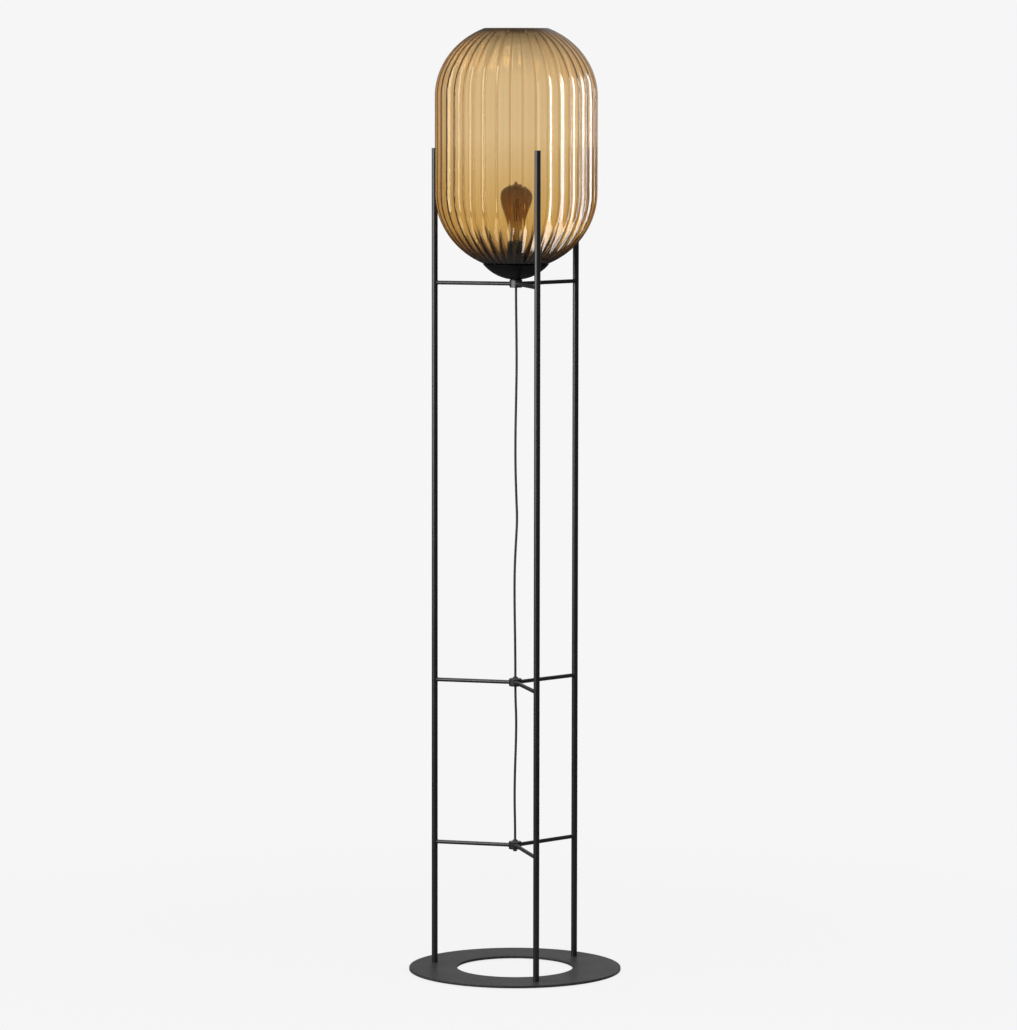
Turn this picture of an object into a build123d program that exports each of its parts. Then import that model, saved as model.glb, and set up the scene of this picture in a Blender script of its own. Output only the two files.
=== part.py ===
from build123d import *
import math
import os

os.makedirs("parts", exist_ok=True)

# Floor lamp: three tubes on a flat ring carry a fluted glass shade in a dish.
# Millimetres, +Z up, origin on the floor under the axis of the shade.

# Base ring and its floor pads
base_outer_diameter = 350.0
base_inner_diameter = 192.0
base_thickness = 4.0
base_edge_radius = 0.8
pad_diameter = 24.0
pad_thickness = 1.0
pads_per_bay = 2

# Fluted glass shade: an upright capsule, cut off flat and open at the top
shade_diameter = 266.0
shade_wall = 3.0
shade_straight = 156.0
lower_dome_height = 127.0
upper_dome_height = 120.5
shade_mouth_diameter = 103.0
shade_floor_hole = 64.0
flute_count = 40
flute_depth = 2.4
floor_tilt = 80.0
dome_steps = 6

# Poles: tubes with end plugs, set just outside the shade
pole_sides = ("front", "right", "left")
front_bearing = -90.0
pole_diameter = 10.0
pole_wall = 1.0
pole_height = 1351.0
shade_to_pole = 0.5
cap_thickness = 1.5
cap_spigot = 9.0
cap_edge = 0.5

# Screws that hold the poles to the base ring from below
insert_length = 22.0
screw_diameter = 5.0
screw_length = 16.0
screw_head_diameter = 9.2
screw_socket = 3.0
screw_socket_depth = 1.4
screw_head_recess = 0.1

# Spreaders: a hub with three rods to the poles
lower_spreader_height = 208.0
middle_spreader_height = 479.0
top_spreader_drop = 220.4
hub_diameter = 21.0
hub_height = 12.5
hub_bore = 10.2
hub_edge = 0.6
arm_diameter = 6.5
arm_hub_depth = 3.0
arm_pole_entry = 1.0

# Cord, its bush in the middle hub and its gland in the lower hub
cord_diameter = 4.0
cord_bend_share = 0.45
bush_neck_diameter = 6.8
bush_neck_height = 3.0
gland_tail_diameter = 6.4
gland_tail_length = 3.8

# Dish that carries the shade, clamped on the top hub by a hollow threaded rod
cup_rim_diameter = 109.0
cup_depth = 25.2
cup_land_diameter = 20.0
cup_sheet = 1.5
washer_diameter = 19.0
washer_thickness = 1.0
nipple_diameter = 10.0
nipple_bore = 7.0
nipple_in_hub = 10.0
nipple_in_holder = 7.0
gasket_width = 5.0

# Small screw lampholder
holder_diameter = 26.0
holder_cap_height = 21.0
holder_height = 60.5
holder_foot_diameter = 17.0
holder_taper = 7.0
holder_wall = 1.6
holder_floor = 8.0
core_height = 14.0
shell_bore = 14.4
shell_sheet = 0.4
shell_height = 18.0
shell_flange = 18.5
contact_width = 4.0
contact_sheet = 0.5
contact_rise = 2.6
contact_span = 9.0
terminal_spacing = 14.0
terminal_diameter = 3.0
terminal_head_diameter = 5.0
terminal_head_height = 2.0

# Bulb: screw cap, pear-shaped envelope with a sealed tip, stem and filaments
bulb_cap_diameter = 13.9
bulb_cap_height = 16.0
bulb_cap_sheet = 0.4
bulb_cap_skirt = 18.0
bulb_skirt_height = 3.0
bulb_contact_diameter = 5.0
bulb_contact_height = 0.8
bulb_insulator_diameter = 11.0
bulb_insulator_height = 2.0
bulb_diameter = 50.0
bulb_glass_height = 103.0
bulb_crown_height = 22.0
bulb_glass_wall = 0.9
bulb_neck_diameter = 16.6
bulb_throat_diameter = 24.0
bulb_throat_height = 24.0
bulb_shoulder_diameter = 40.0
bulb_shoulder_height = 57.0
bulb_tip_diameter = 4.4
bulb_tip_bore = 1.0
bulb_tip_height = 3.5
stem_diameter = 5.0
stem_height = 74.0
collar_diameter = 12.0
collar_drop = 38.0
collar_height = 2.0
filament_count = 4
filament_diameter = 1.8
filament_lean = 3.5

# Clearances between pieces that fit together
weld_fit = 0.05
plug_fit = 0.05
thread_fit = 0.05
screw_hole_fit = 0.25
cord_fit = 0.2
seat_gap = 0.2
running_gap = 0.25

# Heights and radii that follow from the sizes above
base_top = pad_thickness + base_thickness
pole_bearings = {
    side: front_bearing + 360 / len(pole_sides) * number
    for number, side in enumerate(pole_sides)
}
pad_circle_radius = (base_outer_diameter + base_inner_diameter) / 4
shade_radius = shade_diameter / 2
pole_circle_radius = shade_radius + shade_to_pole + pole_diameter / 2
pole_bore = pole_diameter - 2 * pole_wall
tube_length = pole_height - cap_thickness
tube_top = base_top + tube_length
spreader_heights = {
    "lower": lower_spreader_height,
    "middle": middle_spreader_height,
    "top": base_top + pole_height - top_spreader_drop,
}
arm_hole_diameter = arm_diameter + 2 * weld_fit
arm_inner_radius = hub_diameter / 2 - arm_hub_depth
arm_outer_radius = pole_circle_radius - pole_bore / 2 + arm_pole_entry
top_hub_top = spreader_heights["top"] + hub_height / 2
cup_bottom = top_hub_top + washer_thickness
cup_floor = cup_bottom + cup_sheet
cup_rim_top = cup_bottom + cup_depth
holder_joint = cup_floor + holder_cap_height
core_top = holder_joint + core_height
contact_top = core_top + contact_rise


def radial(radius, bearing, height=0.0):
    """A point at a radius and bearing from the lamp's axis."""
    angle = math.radians(bearing)
    return (radius * math.cos(angle), radius * math.sin(angle), height)


def dome_points(centre_height, radius, rise, start, end):
    """Points (radius, height) up an elliptical dome, from one tilt to another."""
    tilts = [math.radians(start + (end - start) * step / dome_steps) for step in range(dome_steps + 1)]
    return [(radius * math.cos(tilt), centre_height + rise * math.sin(tilt)) for tilt in tilts]


def dome_slope(radius, rise, tilt):
    """Direction up the dome at a tilt."""
    return (-radius * math.sin(math.radians(tilt)), rise * math.cos(math.radians(tilt)))


def radial_plane(radius, bearing, height):
    """A plane at that point which faces straight out from the axis."""
    return Plane(origin=radial(radius, bearing, height), z_dir=radial(1.0, bearing))


# Base ring: flat steel plate, with a countersunk hole from below for each pole
hole_places = [
    Location(radial(pole_circle_radius, bearing, pad_thickness), (180, 0, 0))
    for bearing in pole_bearings.values()
]
with BuildPart() as base_ring:
    with BuildSketch(Plane.XY.offset(pad_thickness)):
        Circle(base_outer_diameter / 2)
        Circle(base_inner_diameter / 2, mode=Mode.SUBTRACT)
    extrude(amount=base_thickness)
    fillet(base_ring.edges().group_by(Axis.Z)[-1], base_edge_radius)
    with Locations(*hole_places):
        CounterSinkHole(
            radius=screw_diameter / 2 + screw_hole_fit,
            counter_sink_radius=screw_head_diameter / 2 + screw_hole_fit,
            counter_sink_angle=90,
        )
base_ring.part.label = "base_ring"
export_step(base_ring.part, "parts/base_ring.step")

# Floor pads: thin self-adhesive discs, spaced between the poles
pad_count = pads_per_bay * len(pole_bearings)
pad_start = pole_bearings["front"] + 180 / pad_count
with BuildPart() as floor_pads:
    with BuildSketch():
        with PolarLocations(pad_circle_radius, pad_count, start_angle=pad_start):
            Circle(pad_diameter / 2)
    extrude(amount=pad_thickness)
floor_pads.part.label = "floor_pads"
export_step(floor_pads.part, "parts/floor_pads.step")

# Poles: steel tube, with a hole in the inner side for each rod
for side, bearing in pole_bearings.items():
    with BuildPart() as pole:
        with BuildSketch(Plane.XY.offset(base_top)):
            with Locations(radial(pole_circle_radius, bearing)):
                Circle(pole_diameter / 2)
                Circle(pole_bore / 2, mode=Mode.SUBTRACT)
        extrude(amount=tube_length)
        for height in spreader_heights.values():
            with BuildSketch(radial_plane(0.0, bearing, height)):
                Circle(arm_hole_diameter / 2)
            extrude(amount=pole_circle_radius, mode=Mode.SUBTRACT)
    pole.part.label = f"pole_{side}"
    export_step(pole.part, f"parts/pole_{side}.step")

# Pole caps: flat plugs that close the tops of the tubes
pole_points = [radial(pole_circle_radius, bearing) for bearing in pole_bearings.values()]
with BuildPart() as pole_caps:
    with BuildSketch(Plane.XY.offset(tube_top)):
        with Locations(*pole_points):
            Circle(pole_diameter / 2)
    extrude(amount=cap_thickness)
    chamfer(pole_caps.edges().group_by(Axis.Z)[-1], cap_edge)
    with BuildSketch(Plane.XY.offset(tube_top)):
        with Locations(*pole_points):
            Circle(pole_bore / 2 - plug_fit)
    extrude(amount=-cap_spigot)
pole_caps.part.label = "pole_caps"
export_step(pole_caps.part, "parts/pole_caps.step")

# Pole inserts: threaded plugs in the feet of the tubes
with BuildPart() as pole_inserts:
    with BuildSketch(Plane.XY.offset(base_top)):
        with Locations(*pole_points):
            Circle(pole_bore / 2 - plug_fit)
            Circle(screw_diameter / 2 + thread_fit, mode=Mode.SUBTRACT)
    extrude(amount=insert_length)
pole_inserts.part.label = "pole_inserts"
export_step(pole_inserts.part, "parts/pole_inserts.step")

# Base screws: countersunk socket screws up through the ring into the inserts
head_bottom = pad_thickness + screw_head_recess
head_depth = (screw_head_diameter - screw_diameter) / 2
with BuildPart() as base_screws:
    with BuildSketch(Plane.XY.offset(head_bottom)):
        with Locations(*pole_points):
            Circle(screw_diameter / 2)
    extrude(amount=screw_length)
    with Locations(*[(x, y, head_bottom) for x, y, _ in pole_points]):
        Cone(
            screw_head_diameter / 2,
            screw_diameter / 2,
            head_depth,
            align=(Align.CENTER, Align.CENTER, Align.MIN),
        )
    with BuildSketch(Plane.XY.offset(head_bottom)):
        with Locations(*pole_points):
            RegularPolygon(screw_socket / 2, 6, major_radius=False)
    extrude(amount=screw_socket_depth, mode=Mode.SUBTRACT)
base_screws.part.label = "base_screws"
export_step(base_screws.part, "parts/base_screws.step")

# Spreaders: a bored hub with three rods, welded in blind holes in the hub
# and in the drilled inner sides of the poles
for level, height in spreader_heights.items():
    with BuildPart() as hub:
        with BuildSketch(Plane.XY.offset(height - hub_height / 2)):
            Circle(hub_diameter / 2)
        extrude(amount=hub_height)
        chamfer(hub.edges().filter_by(GeomType.CIRCLE), hub_edge)
        with BuildSketch(Plane.XY.offset(height - hub_height / 2)):
            Circle(hub_bore / 2)
        extrude(amount=hub_height, mode=Mode.SUBTRACT)
        for bearing in pole_bearings.values():
            with BuildSketch(radial_plane(arm_inner_radius, bearing, height)):
                Circle(arm_hole_diameter / 2)
            extrude(amount=hub_diameter, mode=Mode.SUBTRACT)
    hub.part.label = f"{level}_hub"
    export_step(hub.part, f"parts/{level}_hub.step")
    for side, bearing in pole_bearings.items():
        with BuildPart() as arm:
            with BuildSketch(radial_plane(arm_inner_radius, bearing, height)):
                Circle(arm_diameter / 2)
            extrude(amount=arm_outer_radius - arm_inner_radius)
        arm.part.label = f"{level}_arm_{side}"
        export_step(arm.part, f"parts/{level}_arm_{side}.step")

# Cord bush: rubber sleeve in the middle hub, with a neck round the cord above it
bush_bottom = spreader_heights["middle"] - hub_height / 2
bush_top = bush_bottom + hub_height
with BuildPart() as cord_bush:
    with BuildSketch(Plane.XY.offset(bush_bottom)):
        Circle(hub_bore / 2 - plug_fit)
    extrude(amount=hub_height)
    with Locations((0, 0, bush_top)):
        Cone(
            hub_bore / 2 - plug_fit,
            bush_neck_diameter / 2,
            bush_neck_height,
            align=(Align.CENTER, Align.CENTER, Align.MIN),
        )
    with BuildSketch(Plane.XY.offset(bush_bottom)):
        Circle(cord_diameter / 2 + cord_fit)
    extrude(amount=hub_height + bush_neck_height, mode=Mode.SUBTRACT)
cord_bush.part.label = "cord_bush"
export_step(cord_bush.part, "parts/cord_bush.step")

# Cord gland: rubber sleeve in the lower hub, with a neck above and a short tail below
gland_bottom = spreader_heights["lower"] - hub_height / 2
gland_top = gland_bottom + hub_height
with BuildPart() as cord_gland:
    with BuildSketch(Plane.XY.offset(gland_bottom)):
        Circle(hub_bore / 2 - plug_fit)
    extrude(amount=hub_height)
    with Locations((0, 0, gland_top)):
        Cone(
            hub_bore / 2 - plug_fit,
            bush_neck_diameter / 2,
            bush_neck_height,
            align=(Align.CENTER, Align.CENTER, Align.MIN),
        )
    with BuildSketch(Plane.XY.offset(gland_bottom)):
        Circle(gland_tail_diameter / 2)
    extrude(amount=-gland_tail_length)
    with BuildSketch(Plane.XY.offset(gland_bottom - gland_tail_length)):
        Circle(cord_diameter / 2 + cord_fit)
    extrude(amount=gland_tail_length + hub_height + bush_neck_height, mode=Mode.SUBTRACT)
cord_gland.part.label = "cord_gland"
export_step(cord_gland.part, "parts/cord_gland.step")

# Supply cord: hangs from the lampholder down the axis, through the middle hub, to the gland
cord_route = [
    (0.0, 0.0, 1160.0),
    (0.0, 0.0, 1112.0),
    (0.9, -0.3, 1056.0),
    (1.4, -0.4, 1000.0),
    (0.5, -0.1, 944.0),
    (-0.5, 0.2, 888.0),
    (-0.4, 0.2, 834.0),
    (1.2, -0.3, 782.0),
    (2.6, -0.7, 748.0),
    (0.6, -0.2, 712.0),
    (-1.5, 0.5, 664.0),
    (-1.5, 0.4, 610.0),
    (-0.6, 0.2, 556.0),
    (0.0, 0.0, 510.0),
    (0.0, 0.0, 458.0),
    (1.7, -0.5, 416.0),
    (0.9, -0.3, 372.0),
    (-0.6, 0.2, 326.0),
    (-1.0, 0.3, 280.0),
    (0.0, 0.0, 240.0),
    (0.0, 0.0, 202.0),
]
route = [Vector(*point) for point in cord_route]
cord_radii = []
for before, corner, after in zip(route, route[1:], route[2:]):
    half_turn = math.radians((corner - before).get_angle(after - corner)) / 2
    shorter_run = min((corner - before).length, (after - corner).length)
    cord_radii.append(cord_bend_share * shorter_run / math.tan(half_turn))
with BuildPart() as supply_cord:
    with BuildLine() as cord_path:
        FilletPolyline(*route, radius=cord_radii)
    with BuildSketch(Plane(origin=route[0], z_dir=route[1] - route[0])):
        Circle(cord_diameter / 2)
    sweep()
supply_cord.part.label = "supply_cord"
export_step(supply_cord.part, "parts/supply_cord.step")
cord_length = cord_path.wires()[0].length
cord_section = math.pi * cord_diameter**2 / 4
print("cord radii", [round(radius) for radius in cord_radii])
print("cord length", round(cord_length, 1))
cord_filling = supply_cord.part.volume / (cord_section * cord_length)
print("cord volume over section times length", round(cord_filling, 4))

# Threaded nipple: hollow rod that joins the top hub, the dish and the lampholder
with BuildPart() as threaded_nipple:
    with BuildSketch(Plane.XY.offset(top_hub_top - nipple_in_hub)):
        Circle(nipple_diameter / 2)
        Circle(nipple_bore / 2, mode=Mode.SUBTRACT)
    extrude(amount=nipple_in_hub + washer_thickness + cup_sheet + nipple_in_holder)
threaded_nipple.part.label = "threaded_nipple"
export_step(threaded_nipple.part, "parts/threaded_nipple.step")

# Washer between the top hub and the dish
with BuildPart() as cup_washer:
    with BuildSketch(Plane.XY.offset(top_hub_top)):
        Circle(washer_diameter / 2)
        Circle(nipple_diameter / 2 + screw_hole_fit, mode=Mode.SUBTRACT)
    extrude(amount=washer_thickness)
cup_washer.part.label = "cup_washer"
export_step(cup_washer.part, "parts/cup_washer.step")

# Dish: spun steel bowl, a part of a sphere with a small flat floor
rim_radius = cup_rim_diameter / 2
land_radius = cup_land_diameter / 2
bowl_rise = (rim_radius**2 + cup_depth**2 - land_radius**2) / (2 * cup_depth)
bowl_centre = cup_bottom + bowl_rise
bowl_outside = math.hypot(bowl_rise, land_radius)
bowl_inside = bowl_outside - cup_sheet


def bowl_height(sphere_radius, radius):
    """Height of a sphere about the bowl's centre at a radius from the axis."""
    return bowl_centre - math.sqrt(sphere_radius**2 - radius**2)


inner_rim_radius = math.sqrt(bowl_inside**2 - (bowl_centre - cup_rim_top) ** 2)
inner_land_radius = math.sqrt(bowl_inside**2 - (bowl_centre - cup_floor) ** 2)
mid_radius = (rim_radius + land_radius) / 2
with BuildPart() as shade_cup:
    with BuildSketch(Plane.XZ):
        with BuildLine():
            Line((0, cup_bottom), (land_radius, cup_bottom))
            ThreePointArc(
                (land_radius, cup_bottom),
                (mid_radius, bowl_height(bowl_outside, mid_radius)),
                (rim_radius, cup_rim_top),
            )
            Line((rim_radius, cup_rim_top), (inner_rim_radius, cup_rim_top))
            ThreePointArc(
                (inner_rim_radius, cup_rim_top),
                (mid_radius, bowl_height(bowl_inside, mid_radius)),
                (inner_land_radius, cup_floor),
            )
            Line((inner_land_radius, cup_floor), (0, cup_floor))
            Line((0, cup_floor), (0, cup_bottom))
        make_face()
    revolve(axis=Axis.Z)
    with BuildSketch(Plane.XY.offset(cup_bottom)):
        Circle(nipple_diameter / 2 + screw_hole_fit)
    extrude(amount=cup_sheet, mode=Mode.SUBTRACT)
    fillet(shade_cup.edges().group_by(Axis.Z)[-1], cup_sheet / 4)
shade_cup.part.label = "shade_cup"
export_step(shade_cup.part, "parts/shade_cup.step")

# Where the glass rests: its lower dome sits in the rim of the dish
lower_dome_centre = (
    cup_rim_top
    + seat_gap
    + lower_dome_height * math.sqrt(1 - (inner_rim_radius / shade_radius) ** 2)
)
upper_dome_centre = lower_dome_centre + shade_straight


def glass_underside(radius):
    """Height of the outside of the lower dome at a radius from the axis."""
    return lower_dome_centre - lower_dome_height * math.sqrt(1 - (radius / shade_radius) ** 2)


# Gasket: silicone ring that lies in the dish under the glass, just inside the rim
gasket_outer = inner_rim_radius - cup_sheet
gasket_inner = gasket_outer - gasket_width
gasket_middle = (gasket_outer + gasket_inner) / 2
gasket_sphere = bowl_inside - plug_fit
with BuildPart() as shade_gasket:
    with BuildSketch(Plane.XZ):
        with BuildLine():
            ThreePointArc(
                (gasket_inner, bowl_height(gasket_sphere, gasket_inner)),
                (gasket_middle, bowl_height(gasket_sphere, gasket_middle)),
                (gasket_outer, bowl_height(gasket_sphere, gasket_outer)),
            )
            Polyline(
                (gasket_outer, bowl_height(gasket_sphere, gasket_outer)),
                (gasket_outer, glass_underside(gasket_outer) - seat_gap),
                (gasket_inner, glass_underside(gasket_inner) - seat_gap),
                (gasket_inner, bowl_height(gasket_sphere, gasket_inner)),
            )
        make_face()
    revolve(axis=Axis.Z)
shade_gasket.part.label = "shade_gasket"
export_step(shade_gasket.part, "parts/shade_gasket.step")

# Glass shade: both faces of the wall are fluted, with a ridge between each two hollows
mouth_tilt = math.degrees(math.acos(shade_mouth_diameter / shade_diameter))
lower_dome = dome_points(lower_dome_centre, shade_radius, lower_dome_height, -floor_tilt, 0.0)
upper_dome = dome_points(upper_dome_centre, shade_radius, upper_dome_height, 0.0, mouth_tilt)
shade_top = upper_dome[-1][1]
inner_radius = shade_radius - shade_wall
inner_lower = lower_dome_height - shade_wall
inner_upper = upper_dome_height - shade_wall
inner_tilt = math.degrees(math.asin((shade_top - upper_dome_centre) / inner_upper))
inner_lower_dome = dome_points(lower_dome_centre, inner_radius, inner_lower, -floor_tilt, 0.0)
inner_upper_dome = dome_points(upper_dome_centre, inner_radius, inner_upper, 0.0, inner_tilt)
outside_runs = (lower_dome, [lower_dome[-1], upper_dome[0]], upper_dome)
inside_runs = (inner_lower_dome, [inner_lower_dome[-1], inner_upper_dome[0]], inner_upper_dome)
hollow_share = 1 - flute_depth / shade_radius
flute_angle = 360 / flute_count
with BuildPart() as glass_shade:
    for runs, mode in ((outside_runs, Mode.ADD), (inside_runs, Mode.SUBTRACT)):
        for sections in runs:
            for ridge_radius, height in sections:
                with BuildSketch(Plane.XY.offset(height)):
                    with BuildLine():
                        for number in range(flute_count):
                            ridge = number * flute_angle
                            ThreePointArc(
                                radial(ridge_radius, ridge),
                                radial(ridge_radius * hollow_share, ridge + flute_angle / 2),
                                radial(ridge_radius, ridge + flute_angle),
                            )
                    make_face()
            loft(mode=mode)
    with BuildSketch(Plane.XY.offset(lower_dome_centre - lower_dome_height)):
        Circle(shade_floor_hole / 2)
    extrude(amount=lower_dome_height, mode=Mode.SUBTRACT)
glass_shade.part.label = "glass_shade"
export_step(glass_shade.part, "parts/glass_shade.step")

# Lampholder cap: moulded lower half, screwed on the nipple
holder_radius = holder_diameter / 2
holder_bore = holder_diameter - 2 * holder_wall
with BuildPart() as holder_cap:
    with BuildSketch(Plane.XZ):
        with BuildLine():
            Polyline(
                (0, cup_floor),
                (holder_foot_diameter / 2, cup_floor),
                (holder_radius, cup_floor + holder_taper),
                (holder_radius, holder_joint),
                (0, holder_joint),
                (0, cup_floor),
            )
        make_face()
    revolve(axis=Axis.Z)
    with BuildSketch(Plane.XY.offset(cup_floor + holder_floor)):
        Circle(holder_bore / 2)
    extrude(amount=holder_cap_height - holder_floor, mode=Mode.SUBTRACT)
    with BuildSketch(Plane.XY.offset(cup_floor)):
        Circle(nipple_diameter / 2 + thread_fit)
    extrude(amount=holder_floor, mode=Mode.SUBTRACT)
holder_cap.part.label = "holder_cap"
export_step(holder_cap.part, "parts/holder_cap.step")

# Lampholder skirt: moulded upper sleeve round the screw shell
with BuildPart() as holder_skirt:
    with BuildSketch(Plane.XY.offset(holder_joint)):
        Circle(holder_radius)
        Circle(holder_bore / 2, mode=Mode.SUBTRACT)
    extrude(amount=holder_height - holder_cap_height)
    fillet(holder_skirt.edges().group_by(Axis.Z)[-1], holder_wall / 3)
holder_skirt.part.label = "holder_skirt"
export_step(holder_skirt.part, "parts/holder_skirt.step")

# Lampholder core: ceramic block that carries the contacts
terminal_points = [(-terminal_spacing / 2, 0), (terminal_spacing / 2, 0)]
with BuildPart() as holder_core:
    with BuildSketch(Plane.XY.offset(holder_joint)):
        Circle(holder_bore / 2 - plug_fit)
        with Locations(*terminal_points):
            Circle(terminal_diameter / 2 + thread_fit, mode=Mode.SUBTRACT)
    extrude(amount=core_height)
holder_core.part.label = "holder_core"
export_step(holder_core.part, "parts/holder_core.step")

# Terminal screws: they clamp the two wires under the core
with BuildPart() as terminal_screws:
    with BuildSketch(Plane.XY.offset(holder_joint)):
        with Locations(*terminal_points):
            Circle(terminal_diameter / 2)
    extrude(amount=core_height / 2)
    with BuildSketch(Plane.XY.offset(holder_joint)):
        with Locations(*terminal_points):
            Circle(terminal_head_diameter / 2)
    extrude(amount=-terminal_head_height)
terminal_screws.part.label = "terminal_screws"
export_step(terminal_screws.part, "parts/terminal_screws.step")

# Screw shell: thin brass sleeve on a flange, seated on the core
shell_radius = shell_bore / 2 + shell_sheet
with BuildPart() as screw_shell:
    with BuildSketch(Plane.XY.offset(core_top)):
        Circle(shell_flange / 2)
        Circle(shell_bore / 2, mode=Mode.SUBTRACT)
    extrude(amount=shell_sheet)
    with BuildSketch(Plane.XY.offset(core_top)):
        Circle(shell_radius)
        Circle(shell_bore / 2, mode=Mode.SUBTRACT)
    extrude(amount=shell_height)
screw_shell.part.label = "screw_shell"
export_step(screw_shell.part, "parts/screw_shell.step")

# Centre contact: bent spring leaf on the core, under the tip of the bulb
with BuildPart() as centre_contact:
    with BuildSketch(Plane.XZ):
        with BuildLine():
            Polyline(
                (-contact_span / 2, core_top),
                (contact_span / 2, core_top),
                (contact_span / 2, core_top + contact_sheet),
                (contact_sheet - contact_span / 2, core_top + contact_sheet),
                (contact_sheet - contact_span / 2, contact_top - contact_sheet),
                (bulb_contact_diameter / 2, contact_top - contact_sheet),
                (bulb_contact_diameter / 2, contact_top),
                (-contact_span / 2, contact_top),
                (-contact_span / 2, core_top),
            )
        make_face()
    extrude(amount=contact_width / 2, both=True)
centre_contact.part.label = "centre_contact"
export_step(centre_contact.part, "parts/centre_contact.step")

# Bulb contact and insulator: the solder button in its black glass disc
button_bottom = contact_top + running_gap
insulator_bottom = button_bottom + bulb_contact_height
cap_bottom = insulator_bottom + bulb_insulator_height
with BuildPart() as bulb_contact:
    with BuildSketch(Plane.XY.offset(button_bottom)):
        Circle(bulb_contact_diameter / 2)
    extrude(amount=bulb_contact_height)
    fillet(bulb_contact.edges().group_by(Axis.Z)[0], bulb_contact_height / 2)
bulb_contact.part.label = "bulb_contact"
export_step(bulb_contact.part, "parts/bulb_contact.step")

with BuildPart() as bulb_insulator:
    with Locations((0, 0, insulator_bottom)):
        Cone(
            bulb_contact_diameter / 2,
            bulb_insulator_diameter / 2,
            bulb_insulator_height,
            align=(Align.CENTER, Align.CENTER, Align.MIN),
        )
bulb_insulator.part.label = "bulb_insulator"
export_step(bulb_insulator.part, "parts/bulb_insulator.step")

# Bulb cap: pressed screw cap with a flared skirt that holds the neck
cap_radius = bulb_cap_diameter / 2
skirt_radius = bulb_cap_skirt / 2
skirt_bottom = cap_bottom + bulb_cap_height - bulb_skirt_height
neck_bottom = cap_bottom + bulb_cap_height
with BuildPart() as bulb_cap:
    with BuildSketch(Plane.XZ):
        with BuildLine():
            Polyline(
                (0, cap_bottom),
                (bulb_insulator_diameter / 2, cap_bottom),
                (cap_radius, cap_bottom + bulb_insulator_height),
                (cap_radius, skirt_bottom),
                (skirt_radius, skirt_bottom + bulb_cap_sheet),
                (skirt_radius, neck_bottom),
                (skirt_radius - bulb_cap_sheet, neck_bottom),
                (skirt_radius - bulb_cap_sheet, skirt_bottom + 2 * bulb_cap_sheet),
                (cap_radius - bulb_cap_sheet, skirt_bottom + bulb_cap_sheet),
                (cap_radius - bulb_cap_sheet, cap_bottom + bulb_insulator_height),
                (0, cap_bottom + bulb_insulator_height),
                (0, cap_bottom),
            )
        make_face()
    revolve(axis=Axis.Z)
bulb_cap.part.label = "bulb_cap"
export_step(bulb_cap.part, "parts/bulb_cap.step")

# Bulb glass: blown envelope, a pear with a sealed tip, thin all over
bulb_floor = skirt_bottom + 3 * bulb_cap_sheet
bulb_top = bulb_floor + bulb_glass_height
crown_base = bulb_top - bulb_tip_height - bulb_crown_height
tip_radius = bulb_tip_diameter / 2
tip_tilt = math.degrees(math.acos(bulb_tip_diameter / bulb_diameter))
bore_tilt = math.degrees(math.acos(bulb_tip_bore / (bulb_diameter - 2 * bulb_glass_wall)))
with BuildPart() as bulb_glass:
    with BuildSketch(Plane.XZ):
        with BuildLine():
            for inset in (0.0, bulb_glass_wall):
                neck = bulb_neck_diameter / 2 - inset
                throat = bulb_throat_diameter / 2 - inset
                shoulder = bulb_shoulder_diameter / 2 - inset
                widest = bulb_diameter / 2 - inset
                Line((neck, bulb_floor), (neck, neck_bottom))
                Spline(
                    (neck, neck_bottom),
                    (throat, bulb_floor + bulb_throat_height),
                    (shoulder, bulb_floor + bulb_shoulder_height),
                    (widest, crown_base),
                    tangents=((0, 1), (0, 1)),
                )
            outer_crown = Spline(
                *dome_points(crown_base, bulb_diameter / 2, bulb_crown_height, 0.0, tip_tilt),
                tangents=((0, 1), dome_slope(bulb_diameter / 2, bulb_crown_height, tip_tilt)),
            )
            inner_rise = bulb_crown_height - bulb_glass_wall
            inner_crown = Spline(
                *dome_points(crown_base, widest, inner_rise, 0.0, bore_tilt),
                tangents=((0, 1), dome_slope(widest, inner_rise, bore_tilt)),
            )
            Line(outer_crown @ 1, (tip_radius, bulb_top - tip_radius))
            CenterArc((0, bulb_top - tip_radius), tip_radius, 0, 90)
            Polyline(inner_crown @ 1, (0, (inner_crown @ 1).Y), (0, bulb_top))
            Line((neck, bulb_floor), (bulb_neck_diameter / 2, bulb_floor))
        make_face()
    revolve(axis=Axis.Z)
bulb_glass.part.label = "bulb_glass"
export_step(bulb_glass.part, "parts/bulb_glass.step")

# Bulb stem: glass foot and rod with a lower collar and a top button for the filaments
stem_top = bulb_floor + stem_height
collar_bottom = stem_top - collar_drop
with BuildPart() as bulb_stem:
    with Locations((0, 0, bulb_floor)):
        Cone(
            bulb_neck_diameter / 2 - bulb_glass_wall - plug_fit,
            stem_diameter / 2,
            collar_bottom - bulb_floor,
            align=(Align.CENTER, Align.CENTER, Align.MIN),
        )
    with BuildSketch(Plane.XY.offset(collar_bottom)):
        Circle(stem_diameter / 4)
    extrude(amount=collar_drop)
    with BuildSketch(Plane.XY.offset(collar_bottom)):
        Circle(collar_diameter / 2)
    extrude(amount=collar_height)
    with BuildSketch(Plane.XY.offset(stem_top)):
        Circle(stem_diameter / 2 + filament_diameter)
    extrude(amount=collar_height)
bulb_stem.part.label = "bulb_stem"
export_step(bulb_stem.part, "parts/bulb_stem.step")

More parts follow.
